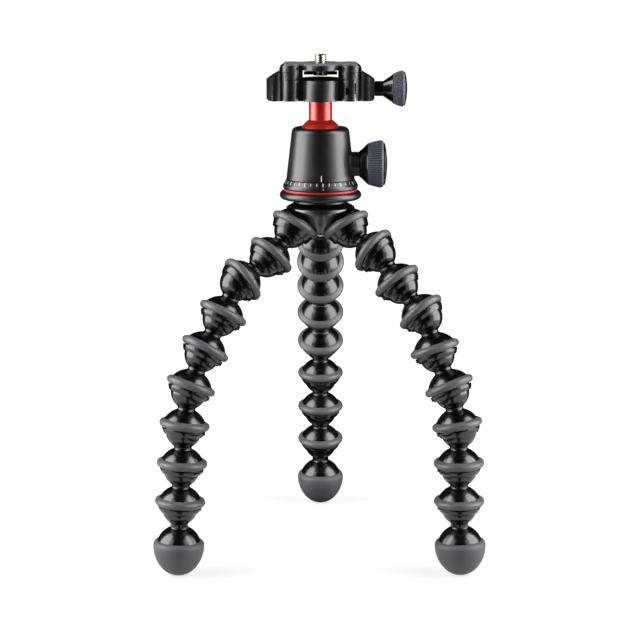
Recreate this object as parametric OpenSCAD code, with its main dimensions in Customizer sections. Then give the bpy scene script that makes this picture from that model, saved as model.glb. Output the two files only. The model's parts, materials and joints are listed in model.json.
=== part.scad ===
// Flexible leg tripod with a ball head and a quick-release clamp, in millimetres.
// It stands on z = 0 with the middle of its footprint at the origin. The head's upright
// axis is in front of that point, because the rear leg reaches furthest.

/* [Leg links] */
// Distance from a link's ball centre to the centre of its own socket
link_pitch = 21.6; // [21:0.1:23]
// Diameter of the ball on top of every link
ball_d = 19.5; // [18.6:0.1:19.8]
// Diameter of the neck between ball and dome
neck_d = 9.8; // [8:0.1:10.6]
// Outer diameter of the dome round the socket
dome_d = 25.2; // [24.8:0.1:25.8]
// Height of the grip ring's middle above the socket centre
ring_lift = 3.6; // [3.3:0.1:3.9]
// Outer diameter of the rubber grip ring
ring_d = 27.5; // [27:0.1:28.5]
// Thickness of the grip ring at its round edge
ring_edge = 4.4; // [4:0.1:4.6]
// How far the snap skirt reaches below the socket centre
mouth_drop = 2.2; // [1.8:0.1:2.6]

/* [Feet] */
// Diameter of the rubber foot
foot_d = 28; // [26:0.5:30]
// Radius of the round sole below the foot's widest part
sole_r = 12.2; // [11.6:0.1:12.6]
// Distance from the ankle ball to the centre of the round sole
ankle_len = 25.8; // [25:0.1:27]
// Height of the rubber above the floor
foot_rubber_h = 20; // [18:0.5:21]
// Lean of the feet away from upright
foot_lean = 2.5; // [0:0.5:6]

/* [Stance] */
// Distance of the hub's socket centres from the head's axis
hub_joint_r = 18.3; // [18:0.1:20]
// Lean of the hub's sockets away from upright
hub_tilt = 34.5; // [32:0.5:38]
// Drop from hub sockets to ankles, in link lengths
ankle_drop = 6.85; // [6.8:0.01:6.9]
// Lean of the front left leg's links, hub first, without the fourth
left_leans = [46, 58, 30, 23, 9, 4, 4]; // [0:1:60]
// Lean of the front right leg's links, hub first, without the fourth
right_leans = [57, 40, 44, 25, 12, 2, 1]; // [0:1:60]
// Lean of the rear leg's links, hub first, without the fourth
rear_leans = [49, 47, 38, 26, 8, 6, 9]; // [0:1:60]

/* [Hub and base] */
// Height of the hub's top face above its socket centres
hub_top = 14.6; // [14:0.1:16]
// Radius of the hub's top edge
hub_r = 18.5; // [17.5:0.1:19.5]
// Thickness of the seat disc on the hub
hub_plate_h = 1.6; // [1.2:0.1:2.4]
// Diameter of the seat disc on the hub
hub_plate_d = 29.4; // [27:0.2:31]
// Diameter of the stud that holds the head
stud_d = 9.52; // [6.35:0.01:9.52]
// Diameter of the head's base flange
flange_d = 45.2; // [44:0.2:48]
// Height of the base flange
flange_h = 5; // [4.6:0.1:5.6]
// Radius of the flange's round edge
flange_round = 2.3; // [1.8:0.1:2.3]
// Height of the coloured accent ring
accent_h = 1; // [0.8:0.1:1.4]
// Diameter of the degree ring
scale_d = 41.4; // [40:0.2:42.4]
// Height of the degree ring
scale_h = 5.2; // [4.8:0.1:5.8]

/* [Ball head] */
// Diameter of the housing at its foot
housing_d = 37.8; // [37:0.2:39]
// Diameter of the housing at its shoulder
shoulder_d = 31.8; // [31.4:0.2:33.4]
// Height of the housing
housing_h = 28.5; // [28:0.1:29.5]
// Diameter of the ball
head_ball_d = 24.4; // [23.8:0.1:24.6]
// Height of the ball's centre above the housing's foot
head_ball_z = 22.1; // [21.8:0.1:22.4]
// Diameter of the stem on the ball
stem_d = 12.8; // [11:0.2:13]
// Height of the stem's top above the ball's centre
stem_h = 21.5; // [21:0.1:24]

/* [Lock knob] */
// Height of the knob's axis above the housing's foot
lock_z = 8.1; // [7.9:0.1:8.4]
// Diameter of the boss on the housing
lock_boss_d = 13.4; // [12:0.2:14]
// Diameter of the knob's grip
lock_grip_d = 26.2; // [24:0.2:27]
// Diameter of the lock screw
lock_screw_d = 5; // [4:0.1:5.6]

/* [Clamp and plate] */
// Half length of the clamp, jaw ends
clamp_half = 29.5; // [29:0.1:31]
// Height of the clamp's floor above its underside
clamp_floor = 11.2; // [10.8:0.1:12]
// Depth of the clamp's side lobes, front to back
clamp_depth = 33; // [31:0.5:36]
// Diameter of the clamp knob's grip
clamp_grip_d = 19.8; // [18:0.2:21]
// Diameter of the clamp screw
clamp_screw_d = 6; // [5:0.1:6.4]
// Width of the plate
plate_w = 44.5; // [43.5:0.1:46]
// Width of the plate's dovetail at its foot
dovetail_w = 38.4; // [38:0.1:39]
// Thread diameter of the camera screw
screw_d = 6.35; // [6.35, 9.52]
// Length of camera screw above the pad
screw_out = 4.8; // [4:0.1:5.5]

/* [Clearances] */
// Radial play of a leg ball in its socket
ball_play = 0.1; // [0.06:0.01:0.14]
// Radial play of a turning shaft in its bore
run_play = 0.05; // [0.03:0.01:0.09]
// Gap between pieces that pass each other
pass_gap = 0.3; // [0.2:0.05:0.4]
// Gap between plate and jaws
slide_gap = 0.15; // [0.1:0.01:0.2]
// Fit of a grip ring on its seat
ring_fit = 0.02; // [0.01:0.01:0.05]

/* [Hidden] */
$fn = 72;

left = 0;
right = 1;
rear = 2;
leg_count = 3;
level_link = 4;
last_link = 8;

black = [0.07, 0.07, 0.08];
dark_rubber = [0.24, 0.24, 0.25];
foot_rubber = [0.3, 0.3, 0.31];
grip_rubber = [0.2, 0.21, 0.25];
red = [0.78, 0.12, 0.1];
steel = [0.72, 0.72, 0.7];
brass = [0.75, 0.6, 0.3];

// Leg link, radii and heights from the socket centre
socket_r = ball_d / 2 + ball_play;
dome_r = dome_d / 2;
seat_r = dome_r - 1.7;
skirt_r = dome_r - 0.5;
skirt_top = ring_lift - ring_edge / 2;
seat_top = sqrt(dome_r * dome_r - seat_r * seat_r) - 0.3;
ring_mid_r = ring_d / 2 - ring_edge / 2;

// Feet, distances from the ankle ball; the side's arc meets the sole's arc smoothly
foot_r = foot_d / 2;
foot_top = ankle_len + sole_r - foot_rubber_h;
foot_shoulder = 3;
foot_wide_y = foot_top + foot_shoulder + 0.4;
sole_rise = ankle_len - foot_wide_y;
foot_side_r = (foot_r * foot_r + sole_rise * sole_rise - sole_r * sole_r) / (2 * (foot_r - sole_r));
sole_meet_y = foot_wide_y + foot_side_r * sole_rise / (foot_side_r - sole_r);

// Shield between two of the hub's sockets, half of its outline seen from the front
shield_r = hub_r + 0.2;
shield_top = hub_top - 2.6;
shield_half = [[1, -1], [4.6, 2.4], [7.1, 6.8], [9.6, shield_top - 1.2], [15.8, shield_top]];

// Legs: azimuth, lean and ball centres, the last two in each leg's own upright plane
ankle_z = sole_r + ankle_len * cos(foot_lean);
hub_z = ankle_z + ankle_drop * link_pitch;

function azimuth(leg) = leg == left ? 210 : leg == right ? 330 : 90;
function leans(leg) = leg == left ? left_leans : leg == right ? right_leans : rear_leans;
function cos_sum(list, i = 0) = i == len(list) ? 0 : cos(list[i]) + cos_sum(list, i + 1);
// The fourth link takes up the difference, so that every leg reaches the floor
function level_lean(leg) = acos(max(0.3, min(1, ankle_drop - cos_sum(leans(leg)))));
function lean(leg, k) =
  k == 0 ? hub_tilt :
  k > last_link ? foot_lean :
  k == level_link ? level_lean(leg) :
  leans(leg)[k < level_link ? k - 1 : k - 2];
function joint_at(leg, k) =
  k == 0 ? [hub_joint_r, hub_z] :
  joint_at(leg, k - 1) + link_pitch * [sin(lean(leg, k)), -cos(lean(leg, k))];
function foot_reach(leg) = joint_at(leg, last_link)[0] + foot_wide_y * sin(foot_lean);
function foot_x(leg) = foot_reach(leg) * cos(azimuth(leg));
function foot_y(leg) = foot_reach(leg) * sin(azimuth(leg));

// Head axis, so that the footprint is centred on the origin
axis_x = -(foot_x(left) + foot_x(right)) / 2;
axis_y = -(foot_y(rear) + min(foot_y(left), foot_y(right))) / 2;

// Heights of the head, from the floor
base_z = hub_z + hub_top + hub_plate_h;
flange_r = flange_d / 2;
accent_z = base_z + flange_h;
scale_z = accent_z + accent_h;
scale_r = scale_d / 2;
housing_z = scale_z + scale_h + pass_gap;
ball_z = housing_z + head_ball_z;
head_ball_r = head_ball_d / 2;
cup_r = head_ball_r + ball_play;
lock_axis_z = housing_z + lock_z;
clamp_z = ball_z + stem_h;
floor_z = clamp_z + clamp_floor;
jaw_h = clamp_floor + 4.1;
jaw_top_z = clamp_z + jaw_h;
plate_z = floor_z + 0.2;
wing_z = jaw_top_z + pass_gap;
plate_top_z = wing_z + 3.5;
pad_h = 0.7;
pad_z = plate_top_z + pad_h;

// Pan spindle
spindle_r = 6;
shoulder_r = 14.5;
floor_h = 3;
washer_h = 0.7;
nut_h = 1.5;

// Lock knob, distances from the head's axis
boss_x = 21.4;
lock_x = boss_x + pass_gap;
lock_core_r = 9.4;
lock_grip_x = lock_x + 4.3;
lock_grip_l = 8.6;
lock_cap_x = lock_grip_x + lock_grip_l;
lock_screw_r = lock_screw_d / 2;
plunger_r = 3;
plunger_nose_x = 7.2;
plunger_back_x = 14.2;
plunger_travel = 0.8;
lock_screw_x = plunger_back_x + run_play;

// Clamp, distances from the head's axis
jaw_gap_x = dovetail_w / 2 - 0.7;
jaw_x = dovetail_w / 2 + slide_gap;
clamp_axis_z = clamp_z + 5.9;
clamp_screw_r = clamp_screw_d / 2;
clamp_knob_x = clamp_half + pass_gap;
clamp_neck_l = 2.6;
clamp_cone_l = 7.2;
clamp_grip_l = 6.2;
clamp_grip_x = clamp_knob_x + clamp_neck_l + clamp_cone_l;
clamp_cap_x = clamp_grip_x + clamp_grip_l;
clamp_core_r = 6.4;
pin_r = 1.5;
pin_y = 10;
rail_in = 9.8;
dovetail_in = 2;
channel_up = 1;
screw_head_r = 3.9;
screw_head_h = 3.4;
screw_head_z = wing_z + channel_up - slide_gap - screw_head_h;
handle_r = 9.1;
handle_wire_r = 0.9;
handle_z = screw_head_z + 1.3;
shank_d = screw_d - 1.3;
center_lobe_r = 9.8;
side_lobe_r = 5.2;
side_lobe_x = 16.2;
end_lobe_x = 24.9;
groove = 2.5;
// Length of a side profile before the plan trims it
blank_l = 1.5 * clamp_depth;

module on_axis() translate([axis_x, axis_y, 0]) children();
// Along +X from the head's axis at a height
module along_x(x, z) translate([x, 0, z]) rotate([0, 90, 0]) children();
// A link's frame: ball centre at the origin, +Z down the link, +X towards the head's axis
module on_joint(leg, k, turn) {
  p = joint_at(leg, k);
  on_axis() rotate([0, 0, azimuth(leg)]) translate([p[0], 0, p[1]]) rotate([0, 180 - turn, 0])
    children();
}
module on_hub_socket(leg) on_joint(leg, 0, hub_tilt) children();
module on_link(leg, k) on_joint(leg, k - 1, lean(leg, k)) children();

// Half profiles, radius along x and the link's own axis along y
module right_half() intersection() {
  children();
  translate([0, -100]) square([100, 250]);
}

// What is cut from a dome to leave the ring seat and the snap skirt below it
module seat_and_skirt_cut() polygon([
  [seat_r, -seat_top], [2 * dome_r, -seat_top], [2 * dome_r, mouth_drop],
  [seat_r, mouth_drop], [skirt_r, -skirt_top], [seat_r, -skirt_top]
]);

// Dome, ring seat and snap skirt round a socket whose centre is at the origin
module socket_outline() difference() {
  intersection() {
    circle(r = dome_r);
    translate([0, -dome_r]) square([dome_r, dome_r + mouth_drop]);
  }
  seat_and_skirt_cut();
}

module ring_outline() {
  difference() {
    union() {
      translate([ring_mid_r, -ring_lift - ring_fit]) circle(d = ring_edge);
      polygon([
        [seat_r, -ring_lift],
        [ring_mid_r, -ring_lift],
        [ring_mid_r + 1.2, -ring_lift - 1.6],
        [seat_r + 0.4, ring_fit - seat_top],
        [seat_r, ring_fit - seat_top]
      ]);
    }
    translate([0, -20]) square([seat_r + ring_fit, 40]);
  }
}

module grip_ring() rotate_extrude() ring_outline();

module ball_and_neck(neck_end) {
  circle(d = ball_d);
  square([neck_d / 2, neck_end]);
}

// One link: shell and grip ring, two separate solids
module leg_link(leg, k) on_link(leg, k) {
  color(black) rotate_extrude() right_half() {
    ball_and_neck(link_pitch - dome_r + 1.5);
    translate([0, link_pitch]) difference() {
      socket_outline();
      circle(r = socket_r);
    }
  }
  color(dark_rubber) translate([0, 0, link_pitch]) grip_ring();
}

foot_dome_y = foot_top + 4.6;
foot_plug_r = 9.5;
foot_plug_y = foot_top + 10;

module foot(leg) on_joint(leg, last_link, foot_lean) color(black) rotate_extrude() right_half() {
  ball_and_neck(foot_dome_y - dome_r + 1.5);
  intersection() {
    translate([0, foot_dome_y]) circle(r = dome_r);
    square([dome_r, foot_top]);
  }
  translate([0, foot_top - 1]) square([foot_plug_r, foot_plug_y - foot_top + 1]);
}

module foot_rubber_pad(leg) on_joint(leg, last_link, foot_lean) color(foot_rubber)
  rotate_extrude() right_half() difference() {
    union() {
      translate([0, ankle_len]) circle(r = sole_r);
      intersection() {
        translate([foot_r - foot_side_r, foot_wide_y]) circle(r = foot_side_r);
        translate([0, foot_wide_y]) square([foot_r + 1, sole_meet_y - foot_wide_y]);
      }
      translate([foot_r - foot_shoulder, foot_top + foot_shoulder]) circle(r = foot_shoulder);
      translate([0, foot_top]) square([foot_r - foot_shoulder, foot_shoulder + 1]);
      translate([0, foot_top + foot_shoulder]) square([foot_r, foot_wide_y - foot_top - foot_shoulder]);
    }
    translate([0, foot_top - 2]) square([foot_plug_r, foot_plug_y - foot_top + 2]);
    square([2 * foot_r, foot_top]);
  }

// The same dome, seat and skirt as a solid, for joining into the hub
module socket_block() difference() {
  sphere(r = dome_r);
  rotate_extrude() seat_and_skirt_cut();
  translate([0, 0, mouth_drop]) cylinder(r = 2 * dome_r, h = dome_r);
}

// A bulging face between two sockets, trimmed to the shield's outline
module hub_shield() intersection() {
  rotate_extrude() polygon([
    [0, -1], [shield_r - 7.2, -1], [shield_r - 4.1, 2.4], [shield_r - 1.6, 7.4],
    [shield_r, shield_top - 0.6], [shield_r, shield_top], [0, shield_top]
  ]);
  rotate([90, 0, 0]) linear_extrude(2 * shield_r) polygon([
    each shield_half, for (i = [len(shield_half) - 1 : -1 : 0]) [-shield_half[i][0], shield_half[i][1]]
  ]);
}

module hub_body() color(black) difference() {
  union() {
    on_axis() translate([0, 0, hub_z]) rotate_extrude() polygon([
      [0, -2.5], [3.5, -2.5], [4.9, -0.7], [8, -0.7], [hub_r, hub_top - 2.9],
      [hub_r, hub_top - 2.3], [hub_plate_d / 2, hub_top], [0, hub_top]
    ]);
    on_axis() translate([0, 0, hub_z]) for (gap = [0 : leg_count - 1]) rotate([0, 0, gap * 360 / leg_count])
      hub_shield();
    for (leg = [0 : leg_count - 1]) on_hub_socket(leg) socket_block();
  }
  for (leg = [0 : leg_count - 1]) on_hub_socket(leg) sphere(r = socket_r);
  on_axis() translate([0, 0, hub_z + 7]) cylinder(d = stud_d, h = hub_top);
}

module hub_grip_rings() color(dark_rubber)
  for (leg = [0 : leg_count - 1]) on_hub_socket(leg) grip_ring();

module hub_seat_disc() color(black) on_axis() translate([0, 0, hub_z + hub_top]) rotate_extrude()
  polygon([
    [stud_d / 2, 0], [hub_plate_d / 2 - 0.3, 0], [hub_plate_d / 2 - 0.3, hub_plate_h - 0.5],
    [hub_plate_d / 2 - 0.8, hub_plate_h], [stud_d / 2, hub_plate_h]
  ]);

module hub_stud() color(steel) on_axis() translate([0, 0, hub_z + 7])
  cylinder(d = stud_d, h = base_z + flange_h - 1 - hub_z - 7);

module base_flange() color(black) on_axis() translate([0, 0, base_z]) difference() {
  rotate_extrude() right_half() {
    polygon([
      [0, 0], [hub_plate_d / 2 + 1.6, 0], [flange_r - flange_round, flange_h - 2 * flange_round],
      [flange_r - flange_round, flange_h], [0, flange_h]
    ]);
    translate([flange_r - flange_round, flange_h - flange_round]) circle(r = flange_round);
    square([shoulder_r, flange_h + accent_h + scale_h - washer_h + pass_gap - run_play]);
    square([spindle_r, housing_z + floor_h + run_play - base_z]);
  }
  translate([0, 0, -1]) cylinder(d = stud_d, h = flange_h);
  translate([0, 0, flange_h + 3]) cylinder(r = 3, h = 20);
}

module accent_ring() color(red) on_axis() translate([0, 0, accent_z]) difference() {
  cylinder(r = scale_r - 0.4, h = accent_h);
  translate([0, 0, -1]) cylinder(r = shoulder_r, h = accent_h + 2);
}

module degree_ring() color(black) on_axis() translate([0, 0, scale_z]) rotate_extrude() polygon([
  [shoulder_r, 0], [scale_r - 0.5, 0], [scale_r, 0.9], [scale_r, 2.2],
  [housing_d / 2 + 0.1, scale_h], [shoulder_r, scale_h]
]);

module pan_washer() color("ivory") on_axis()
  translate([0, 0, housing_z - washer_h - run_play]) difference() {
    cylinder(r = shoulder_r - 0.5, h = washer_h);
    translate([0, 0, -1]) cylinder(r = spindle_r, h = washer_h + 2);
  }

module spindle_nut() color(steel) on_axis()
  translate([0, 0, housing_z + floor_h + run_play]) {
    cylinder(r = 9.5, h = nut_h);
    translate([0, 0, -5]) cylinder(r = 3, h = 5);
  }

module housing() color(black) on_axis() difference() {
  union() {
    translate([0, 0, housing_z]) rotate_extrude() right_half() {
      polygon([
        [0, 0], [housing_d / 2, 0], [shoulder_d / 2, housing_h - 2.8],
        [shoulder_d / 2 - 2.8, housing_h], [0, housing_h]
      ]);
      translate([shoulder_d / 2 - 2.8, housing_h - 2.8]) circle(r = 2.8);
    }
    along_x(0, lock_axis_z) cylinder(d = lock_boss_d, h = boss_x);
  }
  translate([0, 0, ball_z]) sphere(r = cup_r);
  translate([0, 0, housing_z + floor_h]) cylinder(r = cup_r, h = ball_z - housing_z - floor_h);
  translate([0, 0, housing_z - 1]) cylinder(r = cup_r + 1.2, h = floor_h + 1);
  translate([0, 0, housing_z + housing_h - 1.2]) cylinder(r1 = 10.2, r2 = 12.2, h = 1.3);
  along_x(0, lock_axis_z)
    cylinder(r = plunger_r + run_play, h = plunger_back_x + plunger_travel + pass_gap);
  along_x(0, lock_axis_z) cylinder(r = lock_screw_r + run_play, h = boss_x + 1);
  drop_notch();
}

// Slot in the back of the housing that lets the stem lie flat
module drop_notch() {
  notch_r = stem_d / 2 + pass_gap;
  translate([0, 0, ball_z]) rotate([-90, 0, 0]) cylinder(r = notch_r, h = housing_d);
  translate([-notch_r, 0, ball_z]) cube([2 * notch_r, housing_d, housing_h]);
}

module bearing_plate() color(steel) on_axis() translate([0, 0, housing_z]) difference() {
  cylinder(r = cup_r + 1.2, h = floor_h);
  translate([0, 0, -1]) cylinder(r = spindle_r + run_play, h = floor_h + 2);
}

seat_low_z = lock_axis_z + plunger_r + pass_gap;
// Low enough for the stem to lie flat above it
seat_h = ball_z - stem_d / 2 - pass_gap - seat_low_z;
module ball_seat() color("ivory") on_axis() difference() {
  translate([0, 0, seat_low_z]) cylinder(r = cup_r - 0.1, h = seat_h);
  translate([0, 0, ball_z]) sphere(r = head_ball_r + run_play);
}

module wedge_plunger() color(brass) on_axis() along_x(plunger_nose_x, lock_axis_z) {
  cylinder(r1 = 1.6, r2 = plunger_r, h = 2.4);
  translate([0, 0, 2.4]) cylinder(r = plunger_r, h = plunger_back_x - plunger_nose_x - 2.4);
}

// Knob body with a bore for its screw: neck, cone and a core under the grip
module knob_body(neck_r, neck_l, cone_r, cone_l, core_r, core_l, bore_r) difference() {
  rotate_extrude() polygon([
    [0, 0], [neck_r, 0], [neck_r, neck_l], [cone_r, neck_l + cone_l],
    [core_r, neck_l + cone_l], [core_r, neck_l + cone_l + core_l], [0, neck_l + cone_l + core_l]
  ]);
  translate([0, 0, -1]) cylinder(r = bore_r, h = neck_l + cone_l + 1);
}
module knob_grip(core_r, low_r, top_r, h) rotate_extrude() polygon([
  [core_r, 0], [low_r, 0], [top_r - 0.3, h * 0.55], [top_r, h * 0.88], [top_r - 0.5, h], [core_r, h]
]);
module knob_cap(r, rim_h, dome_h) rotate_extrude() right_half() {
  sphere_r = (r * r + dome_h * dome_h) / (2 * dome_h);
  square([r, rim_h]);
  intersection() {
    translate([0, rim_h + dome_h - sphere_r]) circle(r = sphere_r, $fn = 360);
    translate([0, rim_h]) square([r, dome_h]);
  }
}

module lock_knob() color(black) on_axis() along_x(lock_x, lock_axis_z)
  knob_body(7.5, 0.2, 11.1, 4.1, lock_core_r, lock_grip_l, lock_screw_r);
module lock_knob_grip() color(grip_rubber) on_axis() along_x(lock_grip_x, lock_axis_z)
  knob_grip(lock_core_r, 11.3, lock_grip_d / 2, lock_grip_l);
module lock_knob_cap() color(black) on_axis() along_x(lock_cap_x, lock_axis_z)
  knob_cap(lock_grip_d / 2 - 0.6, 0.6, 1.6);
module lock_screw() color(steel) on_axis() along_x(lock_screw_x, lock_axis_z)
  cylinder(r = lock_screw_r, h = lock_grip_x - lock_screw_x);

module head_ball() color(red) on_axis() difference() {
  union() {
    translate([0, 0, ball_z]) sphere(r = head_ball_r);
    translate([0, 0, ball_z]) cylinder(d = stem_d, h = stem_h);
    translate([0, 0, clamp_z - 1]) cylinder(r = 5, h = 3.4);
  }
  translate([0, 0, clamp_z - 8]) cylinder(r = 2.5, h = 20);
}

// Plan of the clamp: a row of round lobes along the front and the back, curved jaw ends
module clamp_plan(depth, lobe_out) {
  intersection() {
    circle(r = clamp_half + 0.4);
    union() {
      square([2 * clamp_half, depth - 2 * groove], center = true);
      for (x = [-1, 1], y = [-1, 1]) {
        translate([x * side_lobe_x, y * (depth / 2 - side_lobe_r)]) circle(r = side_lobe_r);
        translate([x * end_lobe_x, y * (depth / 2 - side_lobe_r - 1.5)]) circle(r = side_lobe_r);
      }
    }
  }
  for (side = [-1, 1])
    translate([0, side * (depth / 2 + lobe_out - center_lobe_r)]) circle(r = center_lobe_r);
}

module along_y(depth) rotate([90, 0, 0]) translate([0, 0, -depth]) linear_extrude(2 * depth) children();

// Side view of a jaw, for the one on the +X side
module jaw_side() polygon([
  [jaw_x, 0], [clamp_half - 1, 0], [clamp_half, 1], [clamp_half, clamp_floor],
  [plate_w / 2, jaw_h], [jaw_x - dovetail_in, jaw_h], [jaw_x, clamp_floor]
]);

// Side view of the base with its fixed jaw on the -X side
module base_side() polygon([
  [jaw_gap_x, 0], [jaw_gap_x, clamp_floor], [-jaw_x, clamp_floor], [dovetail_in - jaw_x, jaw_h],
  [-plate_w / 2, jaw_h], [-clamp_half, clamp_floor], [-clamp_half, 1], [1 - clamp_half, 0]
]);

module clamp_base() color(black) on_axis() difference() {
  intersection() {
    translate([0, 0, clamp_z]) along_y(blank_l) base_side();
    translate([0, 0, clamp_z - 1]) linear_extrude(30) clamp_plan(clamp_depth, 4);
  }
  translate([0, 0, clamp_z - 1]) cylinder(r = 5, h = 3.4);
  translate([0, 0, clamp_z - 1]) cylinder(r = 2.5, h = 20);
  translate([0, 0, floor_z - 4.6]) cylinder(r = 4.3, h = 10);
  along_x(6, clamp_axis_z) cylinder(r = clamp_screw_r + run_play, h = 30);
  for (side = [-1, 1]) translate([0, side * pin_y, 0]) along_x(8, clamp_axis_z) cylinder(r = pin_r, h = 30);
  translate([13.5, -clamp_depth / 2 - 1, clamp_z + 3.5]) cube([1.8, 4, 4]);
}

module clamp_bolt() color(steel) on_axis() {
  translate([0, 0, clamp_z - 7]) cylinder(r = 2.5, h = clamp_floor - 4.6 + 7);
  translate([0, 0, floor_z - 4.6]) difference() {
    cylinder(r = 4.2, h = 4.2);
    translate([0, 0, 1.8]) cylinder(r = 2.3, h = 4, $fn = 6);
  }
}

module guide_pins() color(steel) on_axis() for (side = [-1, 1])
  translate([0, side * pin_y, 0]) along_x(8, clamp_axis_z) cylinder(r = pin_r, h = 18);

module clamp_jaw() color(black) on_axis() difference() {
  intersection() {
    translate([0, 0, clamp_z]) along_y(blank_l) jaw_side();
    translate([0, 0, clamp_z - 1]) linear_extrude(30) clamp_plan(clamp_depth - 2, 4);
  }
  along_x(6, clamp_axis_z) cylinder(r = clamp_screw_r + run_play, h = 40);
  for (side = [-1, 1]) translate([0, side * pin_y, 0]) along_x(8, clamp_axis_z)
    cylinder(r = pin_r + run_play, h = 19);
}

module clamp_knob() color(black) on_axis() along_x(clamp_knob_x, clamp_axis_z)
  knob_body(4.1, clamp_neck_l, 7.7, clamp_cone_l, clamp_core_r, clamp_grip_l, clamp_screw_r);
module clamp_knob_grip() color(grip_rubber) on_axis() along_x(clamp_grip_x, clamp_axis_z)
  knob_grip(clamp_core_r, 8, clamp_grip_d / 2, clamp_grip_l);
module clamp_knob_cap() color(black) on_axis() along_x(clamp_cap_x, clamp_axis_z)
  knob_cap(clamp_grip_d / 2 - 0.5, 0.5, 1.2);
module clamp_screw() color(steel) on_axis() along_x(6.4, clamp_axis_z)
  cylinder(r = clamp_screw_r, h = clamp_grip_x - 6.4);

// Side view of the plate: wings above the jaws, dovetail below, open channel in the middle
module plate_side() {
  half = [
    [plate_w / 2 - 1.9, plate_top_z], [plate_w / 2, plate_top_z - 1.4], [plate_w / 2, wing_z],
    [dovetail_w / 2 - dovetail_in, wing_z], [dovetail_w / 2, plate_z], [rail_in, plate_z],
    [rail_in, wing_z + channel_up]
  ];
  last = len(half) - 1;
  polygon([each half, for (i = [last : -1 : 0]) [-half[i][0], half[i][1]]]);
}

module quick_plate() color(black) on_axis() difference() {
  intersection() {
    along_y(blank_l) plate_side();
    translate([0, 0, plate_z - 1]) linear_extrude(30) clamp_plan(clamp_depth + 1, 4);
  }
  translate([0, 0, plate_z]) cylinder(d = shank_d + 2 * run_play, h = 20);
}

module plate_pad() color(dark_rubber) on_axis() translate([0, 0, plate_top_z]) difference() {
  linear_extrude(pad_h) intersection() {
    square([plate_w - 5, blank_l], center = true);
    clamp_plan(clamp_depth - 1.5, 4);
  }
  translate([0, 0, -1]) cylinder(d = screw_d + 1, h = 4);
}

module camera_screw() color(steel) on_axis() difference() {
  union() {
    translate([0, 0, screw_head_z]) cylinder(r = screw_head_r, h = screw_head_h);
    translate([0, 0, screw_head_z + screw_head_h])
      cylinder(d = shank_d, h = pad_z - screw_head_z - screw_head_h);
    translate([0, 0, pad_z]) cylinder(d = screw_d, h = screw_out);
  }
  along_x(-10, handle_z) cylinder(r = handle_wire_r + run_play, h = 20);
}

// Folded D-shaped handle: a bar through the screw's head and a half-round bow behind it
module screw_handle() color(black) on_axis() {
  along_x(-handle_r, handle_z) cylinder(r = handle_wire_r, h = 2 * handle_r);
  translate([0, 0, handle_z]) difference() {
    rotate_extrude() translate([handle_r - handle_wire_r, 0]) circle(r = handle_wire_r);
    translate([-15, -30, -5]) cube([30, 30, 10]);
  }
}

hub_body();
hub_grip_rings();
hub_seat_disc();
hub_stud();
base_flange();
accent_ring();
degree_ring();
pan_washer();
spindle_nut();
housing();
bearing_plate();
ball_seat();
wedge_plunger();
lock_knob();
lock_knob_grip();
lock_knob_cap();
lock_screw();
head_ball();
clamp_base();
clamp_bolt();
guide_pins();
clamp_jaw();
clamp_knob();
clamp_knob_grip();
clamp_knob_cap();
clamp_screw();
quick_plate();
plate_pad();
camera_screw();
screw_handle();
leg_link(left, 1);  // left_link_1
leg_link(left, 2);  // left_link_2
leg_link(left, 3);  // left_link_3
leg_link(left, 4);  // left_link_4
leg_link(left, 5);  // left_link_5
leg_link(left, 6);  // left_link_6
leg_link(left, 7);  // left_link_7
leg_link(left, 8);  // left_link_8
leg_link(right, 1);  // right_link_1
leg_link(right, 2);  // right_link_2
leg_link(right, 3);  // right_link_3
leg_link(right, 4);  // right_link_4
leg_link(right, 5);  // right_link_5
leg_link(right, 6);  // right_link_6
leg_link(right, 7);  // right_link_7
leg_link(right, 8);  // right_link_8
leg_link(rear, 1);  // rear_link_1
leg_link(rear, 2);  // rear_link_2
leg_link(rear, 3);  // rear_link_3
leg_link(rear, 4);  // rear_link_4
leg_link(rear, 5);  // rear_link_5
leg_link(rear, 6);  // rear_link_6
leg_link(rear, 7);  // rear_link_7
leg_link(rear, 8);  // rear_link_8
foot(left);  // left_foot
foot_rubber_pad(left);  // left_foot_rubber
foot(right);  // right_foot
foot_rubber_pad(right);  // right_foot_rubber
foot(rear);  // rear_foot
foot_rubber_pad(rear);  // rear_foot_rubber
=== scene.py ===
import json
from math import acos, asin, atan2, cos, degrees, pi, radians, sin, sqrt, tan

import bmesh
import bpy
from mathutils import Matrix, Vector


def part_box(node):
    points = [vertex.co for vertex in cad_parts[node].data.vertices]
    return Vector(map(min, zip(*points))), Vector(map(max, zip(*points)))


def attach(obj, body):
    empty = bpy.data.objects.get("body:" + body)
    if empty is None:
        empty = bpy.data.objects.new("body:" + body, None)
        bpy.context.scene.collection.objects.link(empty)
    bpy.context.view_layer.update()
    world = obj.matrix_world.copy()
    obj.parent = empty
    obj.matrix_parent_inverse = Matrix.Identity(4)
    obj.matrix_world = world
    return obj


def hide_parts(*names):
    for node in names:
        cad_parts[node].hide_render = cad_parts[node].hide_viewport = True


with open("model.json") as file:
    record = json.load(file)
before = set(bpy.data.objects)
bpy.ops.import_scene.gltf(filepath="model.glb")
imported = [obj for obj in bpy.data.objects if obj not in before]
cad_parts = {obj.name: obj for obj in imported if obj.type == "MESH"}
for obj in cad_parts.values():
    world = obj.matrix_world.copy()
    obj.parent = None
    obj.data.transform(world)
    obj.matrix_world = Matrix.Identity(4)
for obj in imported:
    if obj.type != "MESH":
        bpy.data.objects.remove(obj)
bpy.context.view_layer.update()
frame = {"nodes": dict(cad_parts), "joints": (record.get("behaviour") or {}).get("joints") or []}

mm = 0.001
nodes = frame["nodes"]
jointAt = {j["child"]: Vector(j["pos_m"]) for j in frame["joints"] if "pos_m" in j}
headAxis = jointAt["head"]
legNames = ["left", "right", "rear"]
linkCount = 8
print("frame loaded:", len(nodes), "solids")


# Materials

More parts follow.
